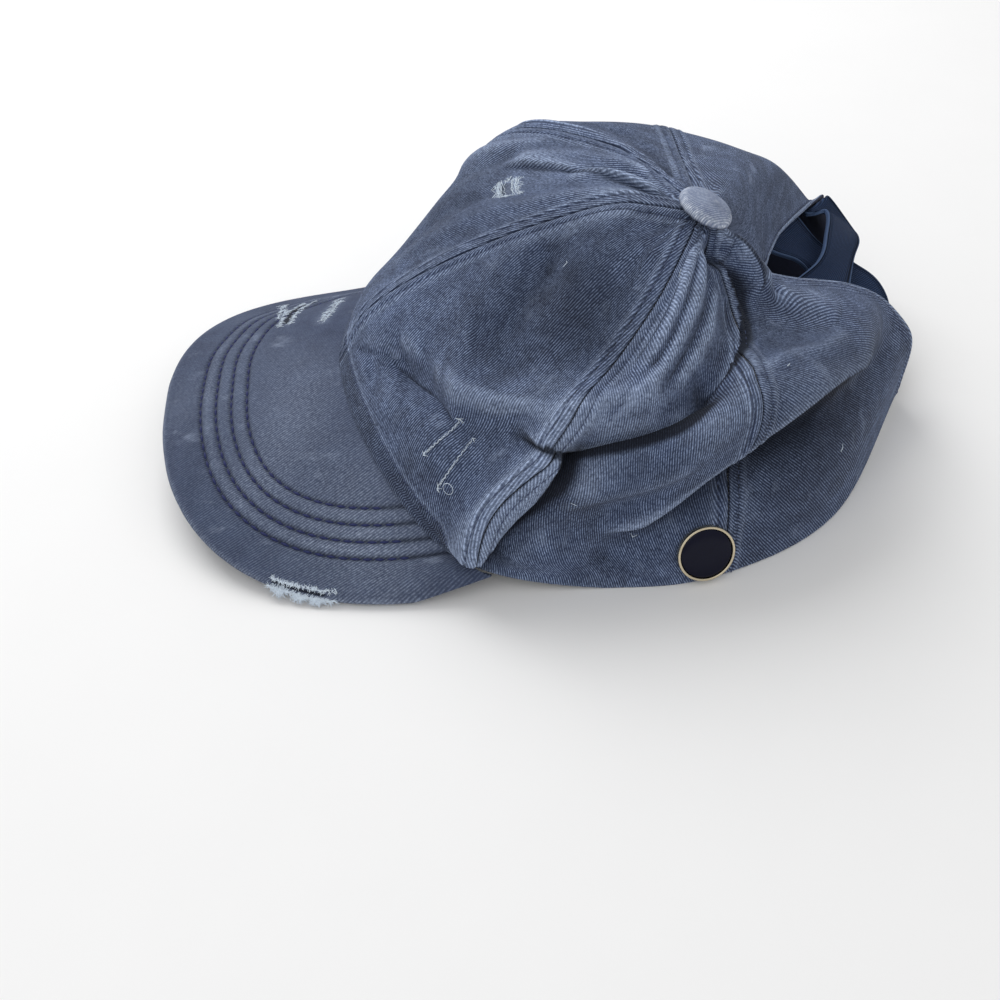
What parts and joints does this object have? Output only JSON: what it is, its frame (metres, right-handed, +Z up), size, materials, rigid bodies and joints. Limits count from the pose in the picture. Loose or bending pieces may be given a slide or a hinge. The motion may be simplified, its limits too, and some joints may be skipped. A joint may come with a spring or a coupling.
{
  "type": "baseball cap",
  "caption": "Slumped unstructured cloth baseball cap with a curved peak, a cloth button, an open back crossed by elastic straps, and a small round badge at the hem.",
  "frame": {"origin": "on the table, under the middle of the whole cap as it lies", "axes": "+Z up, -Y the way the peak points, +X the wearer's left"},
  "size_m": [0.1616, 0.2506, 0.0889],
  "materials": {
    "crown_twill": "washed indigo twill, worn pale on ridges and seams",
    "peak_twill": "washed greyer blue twill with dark blue stitching",
    "elastic": "ribbed navy elastic",
    "button_cloth": "worn pale blue twill",
    "badge_metal": "thin polished pale rim",
    "badge_enamel": "glossy near-black navy enamel"
  },
  "bodies": {
    "root": {"panel_back_right": "crown_twill", "panel_side_right": "crown_twill", "panel_front_right": "crown_twill", "panel_front_left": "crown_twill", "panel_side_left": "crown_twill", "panel_back_left": "crown_twill", "peak": "peak_twill", "strap_over": "elastic", "strap_under": "elastic", "button": "button_cloth", "badge_rim": "badge_metal", "badge_enamel": "badge_enamel"}
  },
  "joints": []
}
